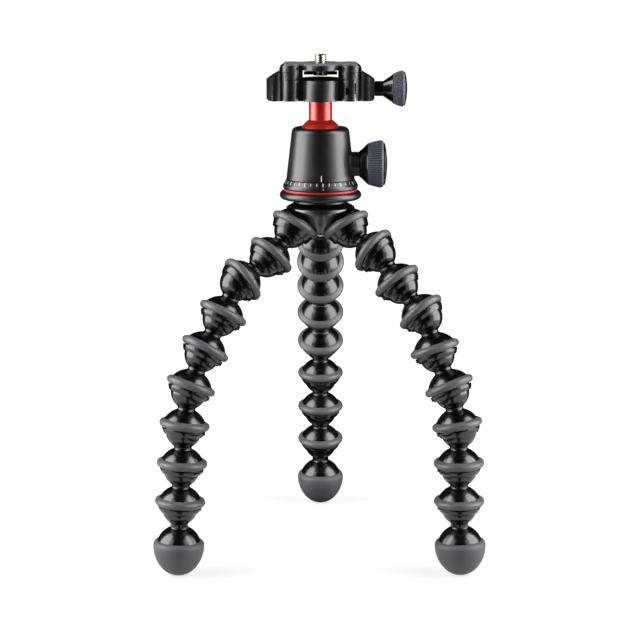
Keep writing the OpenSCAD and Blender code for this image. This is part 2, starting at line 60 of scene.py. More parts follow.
def hexToLinear(code, alpha=1.0):
    channels = [int(code[i:i + 2], 16) / 255 for i in (1, 3, 5)]
    return [c / 12.92 if c <= 0.04045 else ((c + 0.055) / 1.055) ** 2.4 for c in channels] + [alpha]


def addNode(tree, kind, settings, inputs):
    node = tree.nodes.new(kind)
    for name, value in settings.items():
        setattr(node, name, value)
    for key, value in inputs.items():
        if isinstance(value, bpy.types.NodeSocket):
            tree.links.new(value, node.inputs[key])
        else:
            node.inputs[key].default_value = value
    return node


def perMetre(size):  # a pattern of this many millimetres, as a texture scale
    return 1 / (size * mm)


def makeMaterial(finish):
    material = bpy.data.materials.new(finish["name"])
    material.use_nodes = True
    tree = material.node_tree
    tree.nodes.clear()
    place = addNode(tree, "ShaderNodeTexCoord", {}, {}).outputs["Object"]
    turned = addNode(tree, "ShaderNodeMapping", {}, {"Vector": place, "Scale": finish["stretch"]}).outputs[0]
    grain = addNode(tree, "ShaderNodeTexNoise", {}, {
        "Vector": turned, "Scale": perMetre(finish["grain"]), "Detail": 3.0, "Roughness": 0.55})
    cloud = addNode(tree, "ShaderNodeTexNoise", {}, {
        "Vector": place, "Scale": perMetre(finish["cloud"]), "Detail": 4.0, "Roughness": 0.6})
    tint = addNode(tree, "ShaderNodeMix", {"data_type": "RGBA"}, {
        0: cloud.outputs["Fac"], 6: hexToLinear(finish["dark"]), 7: hexToLinear(finish["light"])})
    low, high = finish["rough"]
    rough = addNode(tree, "ShaderNodeMapRange", {}, {
        "Value": cloud.outputs["Fac"], "From Min": 0.3, "From Max": 0.7, "To Min": low, "To Max": high})
    bump = addNode(tree, "ShaderNodeBump", {}, {
        "Height": grain.outputs["Fac"], "Strength": finish["bump"], "Distance": finish["depth"] * mm})
    shader = addNode(tree, "ShaderNodeBsdfPrincipled", {}, {
        "Base Color": tint.outputs[2], "Roughness": rough.outputs["Result"],
        "Normal": bump.outputs["Normal"], "Metallic": finish["metal"], **finish["extra"]})
    addNode(tree, "ShaderNodeOutputMaterial", {}, {"Surface": shader.outputs[0]})
    return material


evenly = (1, 1, 1)
finishes = {
    # Polished injection-moulded ABS: deep black, sharp reflections, a trace of orange peel
    "polishedAbs": {"name": "polished_black_abs", "dark": "#030303", "light": "#070707", "grain": 1.4,
                    "cloud": 9, "stretch": evenly, "rough": (0.17, 0.24), "bump": 0.05, "depth": 0.02,
                    "metal": 0.0, "extra": {"IOR": 1.58}},
    # Lacquered ABS of the hub's faces: black under a hard clear coat, so it shines more than the bare plastic
    "lacquer": {"name": "lacquered_black_abs", "dark": "#0e0e0f", "light": "#141415", "grain": 0.8, "cloud": 8,
                "stretch": evenly, "rough": (0.28, 0.34), "bump": 0.05, "depth": 0.02, "metal": 0.0,
                "extra": {"IOR": 1.58, "Coat Weight": 0.7, "Coat Roughness": 0.24, "Coat IOR": 1.8}},
    # Moulded TPE of the grip rings: satin dark grey with a fine grain, drawn coarse enough to show
    "ringTpe": {"name": "satin_grey_tpe", "dark": "#4d4d4f", "light": "#59595b", "grain": 0.45,
                "cloud": 5, "stretch": evenly, "rough": (0.36, 0.46), "bump": 0.14, "depth": 0.05,
                "metal": 0.0, "extra": {"IOR": 1.52}},
    # Moulded rubber of the feet: dark grey, a little dusty, with a soft sheen
    "footRubber": {"name": "grey_moulded_rubber", "dark": "#464648", "light": "#525254", "grain": 0.5,
                   "cloud": 7, "stretch": evenly, "rough": (0.52, 0.62), "bump": 0.16, "depth": 0.06,
                   "metal": 0.0, "extra": {"IOR": 1.52}},
    # Rubber of the knob grips: blue grey and matte
    "gripRubber": {"name": "blue_grey_grip_rubber", "dark": "#4f535e", "light": "#5b5f6a", "grain": 0.4,
                   "cloud": 4, "stretch": evenly, "rough": (0.5, 0.62), "bump": 0.12, "depth": 0.05,
                   "metal": 0.0, "extra": {"IOR": 1.5}},
    # Bead-blasted and black anodised aluminium: satin, with a fine even grit; the dyed oxide hides the metal
    "blackAnodised": {"name": "black_anodised_aluminium", "dark": "#0a0a0b", "light": "#101011",
                      "grain": 0.3, "cloud": 12, "stretch": evenly, "rough": (0.29, 0.36), "bump": 0.08,
                      "depth": 0.02, "metal": 0.0, "extra": {"IOR": 1.6}},
    # Turned, red anodised aluminium: dyed metal under a clear skin, with pale highlights on deep red
    "redAnodised": {"name": "red_anodised_aluminium", "dark": "#cc2c22", "light": "#d6352a",
                    "grain": 0.5, "cloud": 10, "stretch": (0.15, 0.15, 3), "rough": (0.26, 0.34),
                    "bump": 0.02, "depth": 0.02, "metal": 0.5,
                    "extra": {"Coat Weight": 0.5, "Coat Roughness": 0.2, "Coat IOR": 1.6}},
    # Blasted and red anodised aluminium of the trim ring: an even red without hard highlights
    "redTrim": {"name": "blasted_red_aluminium", "dark": "#b8271e", "light": "#c23026", "grain": 0.4,
                "cloud": 6, "stretch": evenly, "rough": (0.44, 0.52), "bump": 0.05, "depth": 0.02,
                "metal": 0.3, "extra": {}},
    # Bright turned stainless steel
    "turnedSteel": {"name": "turned_stainless_steel", "dark": "#bdb8ac", "light": "#d2cec3",
                    "grain": 0.4, "cloud": 3, "stretch": (0.2, 0.2, 3), "rough": (0.2, 0.3),
                    "bump": 0.06, "depth": 0.02, "metal": 1.0, "extra": {}},
    # Blackened steel wire of the folding handle: dark oxide with a dull shine
    "blackSteel": {"name": "blackened_steel_wire", "dark": "#1b1b1c", "light": "#262627", "grain": 0.3,
                   "cloud": 2, "stretch": evenly, "rough": (0.32, 0.42), "bump": 0.06, "depth": 0.02,
                   "metal": 0.6, "extra": {}},
    # Thin rubber of the camera pad: dark, slightly violet, with a fine texture
    "padRubber": {"name": "camera_pad_rubber", "dark": "#625d66", "light": "#6f6a73", "grain": 0.6,
                  "cloud": 6, "stretch": evenly, "rough": (0.5, 0.62), "bump": 0.35, "depth": 0.12,
                  "metal": 0.0, "extra": {"IOR": 1.5}},
    # Screen-printed white enamel of the scale marks
    "whiteEnamel": {"name": "printed_white_enamel", "dark": "#c4c4c2", "light": "#d2d2d0", "grain": 0.3,
                    "cloud": 2, "stretch": evenly, "rough": (0.4, 0.5), "bump": 0.05, "depth": 0.01,
                    "metal": 0.0, "extra": {"IOR": 1.5}},
    # Turned brass of the plunger
    "turnedBrass": {"name": "turned_brass", "dark": "#b08d45", "light": "#c4a055", "grain": 0.4,
                    "cloud": 4, "stretch": (3, 0.2, 0.2), "rough": (0.25, 0.35), "bump": 0.05,
                    "depth": 0.02, "metal": 1.0, "extra": {}},
    # Natural nylon of the washer and the ball seat
    "naturalNylon": {"name": "natural_nylon", "dark": "#d9d5c8", "light": "#e6e2d6", "grain": 0.6,
                     "cloud": 5, "stretch": evenly, "rough": (0.42, 0.55), "bump": 0.08, "depth": 0.03,
                     "metal": 0.0, "extra": {"IOR": 1.53}},
}
look = {key: makeMaterial(finish) for key, finish in finishes.items()}
print("materials made:", len(look))


# Outlines: (radius, height) in millimetres, a third number rounds that corner

def arc(centreR, centreS, radius, start, end, steps):
    turns = [radians(start + (end - start) * i / steps) for i in range(steps + 1)]
    return [(centreR + radius * cos(t), centreS + radius * sin(t)) for t in turns]


def roundCorners(points, steps=4):
    out = []
    for i, point in enumerate(points):
        if len(point) == 2 or i in (0, len(points) - 1):
            out.append(Vector(point[:2]))
            continue
        corner = Vector(point[:2])
        back = Vector(points[i - 1][:2]) - corner
        ahead = Vector(points[i + 1][:2]) - corner
        half = back.angle(ahead) / 2
        reach = min(point[2] / tan(half), 0.48 * back.length, 0.48 * ahead.length)
        first = corner + back.normalized() * reach
        last = corner + ahead.normalized() * reach
        for n in range(steps + 1):
            t = n / steps
            out.append(first * (1 - t) ** 2 + corner * 2 * t * (1 - t) + last * t ** 2)
    return out


def placeAlong(origin, direction, towards):
    axis = Vector(direction).normalized()
    side = Vector(towards)
    side = (side - axis * side.dot(axis)).normalized()
    turn = Matrix((side, axis.cross(side), axis)).transposed().to_4x4()
    return Matrix.Translation(origin) @ turn


def upright(height):
    return placeAlong((headAxis.x, headAxis.y, height), (0, 0, 1), (1, 0, 0))


def spinOutline(points, steps, closed=False):
    bm = bmesh.new()
    ring = [bm.verts.new((r * mm, 0, s * mm)) for r, s in roundCorners(points)]
    edges = [bm.edges.new(pair) for pair in zip(ring, ring[1:])]
    if closed:
        edges.append(bm.edges.new((ring[-1], ring[0])))
    bmesh.ops.spin(bm, geom=ring + edges, cent=(0, 0, 0), axis=(0, 0, 1), angle=2 * pi, steps=steps,
                   use_merge=True, use_duplicate=False)
    bmesh.ops.remove_doubles(bm, verts=bm.verts, dist=1e-7)
    bmesh.ops.recalc_face_normals(bm, faces=bm.faces)
    return bm


def makePiece(bm, name, place, finish, body, stands=(), sharp=40):
    if place is not None:
        bm.transform(place)
    mesh = bpy.data.meshes.new(name)
    bm.to_mesh(mesh)
    bm.free()
    mesh.shade_smooth()
    mesh.set_sharp_from_angle(angle=radians(sharp))
    piece = bpy.data.objects.new(name, mesh)
    bpy.context.scene.collection.objects.link(piece)
    mesh.materials.append(look[finish])
    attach(piece, body)
    if stands:
        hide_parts(*stands)
    return piece


def dressSolid(name, finish, bevel=0.0):
    solid = nodes[name]
    solid.data.materials.clear()
    solid.data.materials.append(look[finish])
    if bevel:
        weld = solid.modifiers.new("weld", "WELD")
        weld.merge_threshold = 0.002 * mm
        roundEdges(solid, bevel)


def roundEdges(piece, width):
    edge = piece.modifiers.new("edge", "BEVEL")
    edge.width = width * mm
    edge.segments = 3
    edge.limit_method = "ANGLE"
    edge.angle_limit = radians(38)
    edge.use_clamp_overlap = True
    edge.harden_normals = True


# Leg links: ball, neck, dome with its socket, snap skirt and rubber ring

link = {
    "ballR": 9.75, "neckR": 4.9, "neckFillet": 0.9, "domeR": 12.6, "socketR": 9.85,
    "seatR": 10.9, "seatTop": 6.0, "skirtTop": 0.9, "skirtR": 12.05, "waistR": 11.5, "mouthR": 10.45,
    "mouthDrop": 2.2, "steps": 72, "skirtRound": 0.25, "waistDrop": 0.6, "waistRound": 1.2, "lipRound": 0.2,
    "lipWall": 0.5,
    "ringLift": 3.6, "ringEdge": 2.2, "ringMidR": 11.55, "ringLipR": 11.4, "ringFit": 0.02, "ringTurn": -40,
    "ringLipRound": 0.35,
    "tabs": (-24, 24), "tabSize": (1.2, 2.6, 1.8), "tabR": 11.2, "tabDrop": 0.4, "tabRound": 0.2,
}


def neckOutline(domeS):
    fillet = link["neckFillet"]
    reach = link["neckR"] + fillet
    upper = sqrt((link["ballR"] + fillet) ** 2 - reach ** 2)
    drop = sqrt((link["domeR"] + fillet) ** 2 - reach ** 2)
    ballEnd = degrees(atan2(upper, reach))
    domeStart = -degrees(atan2(drop, reach))
    points = arc(0, 0, link["ballR"], -90, ballEnd, 22)
    points += arc(reach, upper, fillet, ballEnd + 180, 180, 5)
    points += arc(reach, domeS - drop, fillet, 180, domeStart + 180, 5)
    return points, domeStart


def linkOutline(pitch):
    points, domeStart = neckOutline(pitch)
    seatAngle = -degrees(asin(link["seatTop"] / link["domeR"]))
    mouthAngle = degrees(asin(link["mouthDrop"] / link["socketR"]))
    top = pitch - link["skirtTop"]
    bottom = pitch + link["mouthDrop"]
    points += arc(0, pitch, link["domeR"], domeStart, seatAngle, 14)
    points += [
        (link["seatR"], pitch - link["seatTop"]), (link["seatR"], top),
        (link["skirtR"], top, link["skirtRound"]),
        (link["waistR"], pitch + link["waistDrop"], link["waistRound"]),
        (link["mouthR"], bottom, link["lipRound"]), (link["mouthR"] - link["lipWall"], bottom),
    ]
    points += arc(0, pitch, link["socketR"], mouthAngle, -90, 20)
    return points


def ringOutline():
    mid = -link["ringLift"]
    inner = link["seatR"] + link["ringFit"]
    top = -link["seatTop"] + link["ringFit"]
    points = [(inner, mid + link["ringEdge"] - link["ringFit"])]
    points += arc(link["ringMidR"], mid, link["ringEdge"], 90, link["ringTurn"], 16)
    points += [(link["ringLipR"], top, link["ringLipRound"]), (inner, top)]
    return points


def addTabs(bm, socket):
    for turn in link["tabs"]:
        made = bmesh.ops.create_cube(bm, size=1)["verts"]
        edges = list({e for v in made for e in v.link_edges})
        size = Matrix.Diagonal([x * mm for x in link["tabSize"]]).to_4x4()
        move = Matrix.Translation((link["tabR"] * mm, 0, (socket + link["tabDrop"]) * mm))
        bmesh.ops.transform(bm, matrix=Matrix.Rotation(radians(turn), 4, "Z") @ move @ size, verts=made)
        bmesh.ops.bevel(bm, geom=edges, offset=link["tabRound"] * mm, offset_type="OFFSET",
                        affect="EDGES", segments=2, profile=0.5, material=-1)


def makeLinks():
    for leg in legNames:
        balls = [jointAt[f"{leg}_link_{k}"] for k in range(1, linkCount + 1)] + [jointAt[f"{leg}_foot"]]
        for k in range(1, linkCount + 1):
            name = f"{leg}_link_{k}"
            ball, socket = balls[k - 1], balls[k]
            pitch = (socket - ball).length / mm
            inward = Vector((headAxis.x - ball.x, headAxis.y - ball.y, 0))
            shell = spinOutline(linkOutline(pitch), link["steps"])
            addTabs(shell, pitch)
            makePiece(shell, f"{name}_shell", placeAlong(ball, socket - ball, inward), "polishedAbs", name,
                      [name])
            ring = spinOutline(ringOutline(), link["steps"], closed=True)
            makePiece(ring, f"{name}_ring", placeAlong(socket, socket - ball, inward), "ringTpe", name)
    print("leg links made:", linkCount * len(legNames))


# Feet: moulded ankle with a dome, and the rubber foot with its egg-shaped sole

foot = {"lean": 2.5, "length": 38.0, "rubberTop": 18.0, "domeDrop": 4.6, "overlap": 1.0,
        "wideR": 14.0, "shoulder": 3.0, "straight": 0.4, "tipR": 12.2, "seatGap": 0.4, "seatInset": 1.2,
        "seatRound": 0.2, "shoulderTurn": -80, "steps": 72}


def makeFeet():
    for leg in legNames:
        ankle = jointAt[f"{leg}_foot"]
        inward = Vector((headAxis.x - ankle.x, headAxis.y - ankle.y, 0)).normalized()
        lean = radians(foot["lean"])
        place = placeAlong(ankle, Vector((0, 0, -cos(lean))) - inward * sin(lean), inward)
        makeAnkle(leg, place)
        makeSole(leg, place)
    print("feet made:", len(legNames))


def makeAnkle(leg, place):
    domeS = foot["rubberTop"] + foot["domeDrop"]
    points, domeStart = neckOutline(domeS)
    hidden = foot["domeDrop"] - foot["overlap"]
    endAngle = -degrees(asin(hidden / link["domeR"]))
    points += arc(0, domeS, link["domeR"], domeStart, endAngle, 14)
    points += [(0, domeS - hidden)]
    bm = spinOutline(points, foot["steps"])
    makePiece(bm, f"{leg}_ankle", place, "polishedAbs", f"{leg}_foot", [f"{leg}_foot"])


def makeSole(leg, place):
    wideR, tipR, shoulder, top = foot["wideR"], foot["tipR"], foot["shoulder"], foot["rubberTop"]
    wideS = top + shoulder + foot["straight"]
    tipS = foot["length"] - tipR
    rise = tipS - wideS
    sideR = (wideR ** 2 + rise ** 2 - tipR ** 2) / (2 * (wideR - tipR))
    meet = degrees(atan2(rise, sideR - wideR))
    seat = top + foot["seatGap"]
    points = [(0, seat), (link["domeR"] - foot["seatInset"], seat, foot["seatRound"])]
    points += arc(wideR - shoulder, top + shoulder, shoulder, foot["shoulderTurn"], 0, 8)
    points += arc(wideR - sideR, wideS, sideR, 0, meet, 14)
    points += arc(0, tipS, tipR, meet, 90, 14)[1:]
    bm = spinOutline(points, foot["steps"])
    makePiece(bm, f"{leg}_sole", place, "footRubber", f"{leg}_foot", [f"{leg}_foot_rubber"])


# Hub: the moulded body is the solid itself, with rubber rings on its sockets and lacquered faces between them

hub = {"tilt": 34.5, "edge": 0.45, "discEdge": 0.2, "screwR": 3.4, "screwLow": 4.4, "screwHigh": 2.5,
       "screwSlope": 1.0, "screwRounds": (0.5, 0.3), "screwSteps": 48, "slot": (0.8, 0.9),
       "faceProfile": [(16.6, 13.3), (18.35, 12.5), (18.9, 12.0), (18.95, 10.5), (18.3, 8.9), (17.45, 7.2),
                       (16.3, 4.9), (14.9, 2.4), (13.4, 0.7), (11.75, -1.0)],
       "faceOutline": [(-1.0, 1.3), (2.4, 4.8), (6.8, 7.4), (9.3, 9.4), (10.8, 10.8), (11.6, 13.0),
                       (12.2, 15.6), (13.3, 15.0)],  # height and half width, seen from the front
       "faceRound": 3.0, "faceWall": 0.8, "faceSteps": 28, "faceEdge": 0.22}


def makeHub():
    dressSolid("hub_body", "polishedAbs", hub["edge"])
    dressSolid("hub_seat_disc", "blackAnodised", hub["discEdge"])
    rings = bmesh.new()
    for leg in legNames:
        socket = jointAt[f"{leg}_link_1"]
        out = Vector((socket.x - headAxis.x, socket.y - headAxis.y, 0)).normalized()
        lean = radians(hub["tilt"])
        axis = out * sin(lean) - Vector((0, 0, cos(lean)))
        ring = spinOutline(ringOutline(), link["steps"], closed=True)
        ring.transform(placeAlong(socket, axis, -out))
        mesh = bpy.data.meshes.new("ring")
        ring.to_mesh(mesh)
        ring.free()
        rings.from_mesh(mesh)
        bpy.data.meshes.remove(mesh)
    makePiece(rings, "hub_rings", None, "ringTpe", "stand", ["hub_grip_rings"])
    makeHubFaces()
    makeHubScrew()
    print("hub made")


def faceHalfWidth(height):
    rows = hub["faceOutline"]
    for (lowS, lowW), (highS, highW) in zip(rows, rows[1:]):
        if height <= highS:
            break
    return lowW + (highW - lowW) * (height - lowS) / (highS - lowS)


def makeHubFaces():
    spread = 2.0  # radians, before the strip is narrowed
    outer = roundCorners([(r, s, hub["faceRound"]) for r, s in hub["faceProfile"]])
    inner = [(r - hub["faceWall"], s) for r, s in reversed(outer)]
    for gap in range(len(legNames)):
        bm = bmesh.new()
        ring = [bm.verts.new((r * mm, 0, s * mm)) for r, s in [*outer, *inner]]
        edges = [bm.edges.new(pair) for pair in zip(ring, ring[1:] + ring[:1])]
        bmesh.ops.spin(bm, geom=ring + edges, cent=(0, 0, 0), axis=(0, 0, 1), angle=spread,
                       steps=hub["faceSteps"])
        for v in bm.verts:  # the spun strip narrows to the outline between two rings
            radius = sqrt(v.co.x ** 2 + v.co.y ** 2)
            share = 2 * atan2(v.co.y, v.co.x) / spread - 1
            turn = share * asin(faceHalfWidth(v.co.z / mm) * mm / radius)
            v.co.x, v.co.y = radius * sin(turn), -radius * cos(turn)
        bmesh.ops.holes_fill(bm, edges=[e for e in bm.edges if e.is_boundary], sides=0)
        bmesh.ops.recalc_face_normals(bm, faces=bm.faces)
        bm.transform(Matrix.Rotation(2 * pi * gap / len(legNames), 4, "Z"))
        piece = makePiece(bm, f"hub_face_{gap + 1}", upright(jointAt["rear_link_1"].z), "lacquer", "stand")
        roundEdges(piece, hub["faceEdge"])


def makeHubScrew():
    r, low, high = hub["screwR"], -hub["screwLow"], -hub["screwHigh"]
    wide, deep = hub["slot"]
    slope = hub["screwSlope"]
    lowRound, sideRound = hub["screwRounds"]
    points = [(0, low + deep), (wide, low + deep), (wide, low), (r - slope, low, lowRound),
              (r, low + slope, sideRound), (r, high)]
    bm = spinOutline(points, hub["screwSteps"])
    makePiece(bm, "hub_screw_head", upright(jointAt["rear_link_1"].z), "turnedSteel", "stand")


# Pan base: flange, red accent ring, degree ring with its printed scale

base = {"round": 2.3, "steps": 128, "tickStep": 10, "longEvery": 3, "tickTurn": 4,
        "tick": (0.42, 1.7), "longTick": (0.5, 2.1), "tickLift": 0.03, "faceTop": 0.3, "dotR": 0.32,
        "dotUp": 1.8, "dotSteps": 20, "seatR": 16.3, "seatRound": 0.4, "tuck": 0.4, "underTurn": -88,
        "boreR": 14.6, "trimRound": 0.2, "rimIn": 0.5, "rimLow": 0.9, "rimTop": 2.2, "rimRound": 0.3,
        "coneTopR": 19.0, "coneRound": 0.15}


def nodeSpan(name):
    low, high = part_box(name)
    return low.z / mm, high.z / mm, (high.x - low.x) / 2 / mm


def makeBase():
    bottom, radius = nodeSpan("base_flange")[::2]
    accentLow, accentHigh, accentR = nodeSpan("accent_ring")
    scaleLow, scaleHigh, scaleR = nodeSpan("degree_ring")
    flangeTop = accentLow - bottom
    r = base["round"]
    points = [(0, 0), (base["seatR"], 0, base["seatRound"]), (radius - r - base["tuck"], flangeTop - 2 * r)]
    points += arc(radius - r, flangeTop - r, r, base["underTurn"], 90, 16)
    points += [(0, flangeTop)]
    makePiece(spinOutline(points, base["steps"]), "pan_flange", upright(bottom * mm), "blackAnodised", "stand",
              ["base_flange"])
    bore, trim = base["boreR"], base["trimRound"]
    points = [(bore, 0), (accentR, 0, trim), (accentR, accentHigh - accentLow, trim),
              (bore, accentHigh - accentLow)]
    makePiece(spinOutline(points, base["steps"], closed=True), "accent_band", upright(accentLow * mm),
              "redTrim", "stand", ["accent_ring"])
    tall = scaleHigh - scaleLow
    rim = base["rimRound"]
    points = [(bore, 0), (scaleR - base["rimIn"], 0, trim), (scaleR, base["rimLow"], rim),
              (scaleR, base["rimTop"], rim), (base["coneTopR"], tall, base["coneRound"]), (bore, tall)]
    makePiece(spinOutline(points, base["steps"], closed=True), "scale_ring", upright(scaleLow * mm),
              "blackAnodised", "stand", ["degree_ring"])
    makeTicks(scaleLow, tall, scaleR)
    print("pan base made")


def makeTicks(scaleLow, tall, scaleR):
    coneTopR = base["coneTopR"]
    slope = Vector((coneTopR - scaleR, tall - base["rimTop"]))
    lean = atan2(-slope.x, slope.y)
    bm = bmesh.new()
    for i in range(0, 360 // base["tickStep"]):
        wide, high = base["longTick"] if i % base["longEvery"] == 0 else base["tick"]
        centre = Vector((coneTopR, tall)) - slope.normalized() * (base["faceTop"] + high / 2)
        made = bmesh.ops.create_cube(bm, size=1)["verts"]
        size = Matrix.Diagonal((2 * base["tickLift"] * mm, wide * mm, high * mm)).to_4x4()
        move = Matrix.Translation((centre.x * mm, 0, centre.y * mm))
        turn = Matrix.Rotation(radians(i * base["tickStep"] + base["tickTurn"] - 90), 4, "Z")
        bmesh.ops.transform(bm, matrix=turn @ move @ Matrix.Rotation(-lean, 4, "Y") @ size, verts=made)
    dotR = base["dotR"] * mm
    dot = bmesh.ops.create_cone(bm, cap_ends=True, segments=base["dotSteps"], radius1=dotR, radius2=dotR,
                                depth=2 * base["tickLift"] * mm)["verts"]
    move = Matrix.Translation((scaleR * mm, 0, base["dotUp"] * mm))
    turn = Matrix.Rotation(radians(base["tickTurn"] - 90), 4, "Z")
    bmesh.ops.transform(bm, matrix=turn @ move @ Matrix.Rotation(pi / 2, 4, "Y"), verts=dot)
    makePiece(bm, "degree_marks", upright(scaleLow * mm), "whiteEnamel", "stand")


# Ball head: housing, index line, red ball with its stem

head = {"edge": 0.5, "stemR": 6.4, "stemShort": 2.4, "stemFillet": 0.8, "steps": 96, "footR": 18.9,
        "shoulderR": 15.9, "shoulderUp": 25.7, "index": (0.6, 3.3), "indexRise": 0.3, "indexLift": 0.06,
        "indexAside": 0.5}


def makeHead():
    dressSolid("housing", "blackAnodised", head["edge"])
    ballCentre = jointAt["ball"].z / mm
    stemTop, ballR = nodeSpan("head_ball")[1:]
    stemR, stemEnd = head["stemR"], stemTop - ballCentre - head["stemShort"]
    fillet = head["stemFillet"]
    reach = stemR + fillet
    rise = sqrt((ballR + fillet) ** 2 - reach ** 2)
    meet = degrees(atan2(rise, reach))
    points = arc(0, 0, ballR, -90, meet, 24)
    points += arc(reach, rise, fillet, meet + 180, 180, 5)
    points += [(stemR, stemEnd), (0, stemEnd)]
    makePiece(spinOutline(points, head["steps"]), "ball_and_stem", upright(ballCentre * mm), "redAnodised",
              "ball", ["head_ball"])
    makeIndex(nodeSpan("housing")[0])
    print("ball head made")


def makeIndex(low):
    wide, tall = head["index"]
    slope = (head["footR"] - head["shoulderR"]) / head["shoulderUp"]
    middle = head["indexRise"] + tall / 2
    bm = bmesh.new()
    made = bmesh.ops.create_cube(bm, size=1)["verts"]
    size = Matrix.Diagonal((wide * mm, 2 * head["indexLift"] * mm, tall * mm)).to_4x4()
    move = Matrix.Translation((head["indexAside"] * mm, -(head["footR"] - slope * middle) * mm, middle * mm))
    bmesh.ops.transform(bm, matrix=move @ Matrix.Rotation(-atan2(slope, 1), 4, "X") @ size, verts=made)
    makePiece(bm, "index_line", upright(low * mm), "whiteEnamel", "head")


# Knobs: moulded body, ribbed rubber grip and convex cap

lockKnob = {"name": "lock_knob", "neckR": 7.5, "neckL": 0.2, "coneR": 11.1, "coneL": 4.1, "coreR": 9.4,
            "gripLowR": 11.3, "gripR": 13.1, "gripL": 8.6, "capInset": 1.5, "capRim": 0.9, "capDome": 1.3,
            "ribs": 60, "ribDepth": 1.0}  # the real grip has about 78 ribs, too fine to show
clampKnob = {"name": "clamp_knob", "neckR": 4.1, "neckL": 4.2, "coneR": 7.7, "coneL": 5.6, "coreR": 6.4,
             "gripLowR": 8.0, "gripR": 9.9, "gripL": 6.2, "capInset": 0.8, "capRim": 0.5, "capDome": 1.2,
             "ribs": 64, "ribDepth": 0.4}
knobMould = {"collar": 0.28, "collarIn": 0.5, "neckEdge": 0.1, "neckRun": 0.3, "neckRound": 0.6, "rimIn": 0.4,
             "rimLow": 0.6, "rimRound": 0.4, "rimEdge": 0.2, "capRound": 0.4, "steps": 72}
gripMould = {"fit": 0.02, "edge": 0.2, "bulge": [(1.0, 0.3), (0.3, 0.6)], "widest": 0.86, "widestRound": 0.5,
             "endIn": 0.55, "stepsPerRib": 4, "outerShare": 0.98, "ribSpan": (0.1, 0.87), "groove": (0.4, 0.9)}


def makeKnob(knob):
    name = knob["name"]
    low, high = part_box(name)
    centre = Vector((0, (low.y + high.y) / 2, (low.z + high.z) / 2))
    start = low.x
    cone = knob["neckL"] + knob["coneL"]
    end = cone + knob["gripL"]
    neckR, coneR, coreR = knob["neckR"], knob["coneR"], knob["coreR"]
    mould = knobMould
    points = [(0, -mould["collar"]), (neckR - mould["collarIn"], -mould["collar"]),
              (neckR - mould["collarIn"], 0), (neckR, 0, mould["neckEdge"]),
              (neckR, knob["neckL"] + mould["neckRun"], mould["neckRound"]),
              (coneR - mould["rimIn"], cone - mould["rimLow"], mould["rimRound"]),
              (coneR, cone, mould["rimEdge"]), (coreR, cone), (coreR, end), (0, end)]
    place = placeAlong(centre + Vector((start, 0, 0)), (1, 0, 0), (0, 0, 1))
    makePiece(spinOutline(points, mould["steps"]), f"{name}_body", place, "polishedAbs", name, [name])
    makeGrip(knob, centre + Vector((start + cone * mm, 0, 0)))
    capR = knob["gripR"] - knob["capInset"]
    sphereR = (capR ** 2 + knob["capDome"] ** 2) / (2 * knob["capDome"])
    edge = degrees(acos(capR / sphereR))
    points = [(0, 0), (capR, 0), (capR, knob["capRim"], mould["capRound"])]
    points += arc(0, knob["capRim"] + knob["capDome"] - sphereR, sphereR, edge, 90, 16)[1:]
    capAt = centre + Vector((start + end * mm, 0, 0))
    makePiece(spinOutline(points, mould["steps"]), f"{name}_end", placeAlong(capAt, (1, 0, 0), (0, 0, 1)),
              "polishedAbs", name, [f"{name}_cap"])
    print("knob made:", name)


def makeGrip(knob, origin):
    length = knob["gripL"]
    topR = knob["gripR"]
    inner = knob["coreR"] + gripMould["fit"]
    edge = gripMould["edge"]
    points = [(inner, 0), (knob["gripLowR"], 0, edge)]
    points += [(topR - inset, length * share) for inset, share in gripMould["bulge"]]
    points += [(topR, length * gripMould["widest"], gripMould["widestRound"]),
               (topR - gripMould["endIn"], length, edge), (inner, length)]
    bm = spinOutline(points, knob["ribs"] * gripMould["stepsPerRib"], closed=True)
    ribStart, ribEnd = [length * share for share in gripMould["ribSpan"]]
    grooveStart, grooveEnd = gripMould["groove"]
    ribTurn = 2 * pi / knob["ribs"]
    for v in bm.verts:
        radius = sqrt(v.co.x ** 2 + v.co.y ** 2)
        along = v.co.z / mm
        if radius < knob["gripLowR"] * mm * gripMould["outerShare"] or not ribStart < along < ribEnd:
            continue
        part = (atan2(v.co.y, v.co.x) % ribTurn) / ribTurn
        if grooveStart < part < grooveEnd:
            shrink = 1 - knob["ribDepth"] * mm / radius
            v.co.x *= shrink
            v.co.y *= shrink
    makePiece(bm, f"{knob['name']}_ribs", placeAlong(origin, (1, 0, 0), (0, 0, 1)), "gripRubber",
              knob["name"], [f"{knob['name']}_grip"], sharp=30)


# Clamp, plate, pad and camera screw

clamp = {"edge": 0.22, "padEdge": 0.15}
screw = {"majorR": 3.175, "minorR": 2.62, "pitch": 1.27, "crest": (0.5, 0.68), "root": 1.18, "steps": 40,
         "chamfer": 0.5, "chamferSlope": 0.9, "headTall": 3.4, "headRounds": (0.4, 0.3), "headSteps": 64,
         "shankR": 2.5, "shankShort": 0.2, "threadUnder": 0.6}


def makeClamp():
    for name in ("clamp_base", "clamp_jaw", "quick_plate"):
        dressSolid(name, "blackAnodised", clamp["edge"])
    dressSolid("plate_pad", "padRubber", clamp["padEdge"])
    dressSolid("screw_handle", "blackSteel")
    low, high, headR = nodeSpan("camera_screw")
    padTop = nodeSpan("plate_pad")[1]
    headTop = low + screw["headTall"]
    lowRound, topRound = screw["headRounds"]
    shankTop = padTop - screw["shankShort"]
    points = [(0, low), (headR, low, lowRound), (headR, headTop, topRound), (screw["shankR"], headTop),
              (screw["shankR"], shankTop), (0, shankTop)]
    shank = spinOutline(points, screw["headSteps"])
    makePiece(shank, "screw_head", upright(0), "turnedSteel", "camera_screw")
    makeThread(padTop - screw["threadUnder"], high)
    print("clamp and plate made")


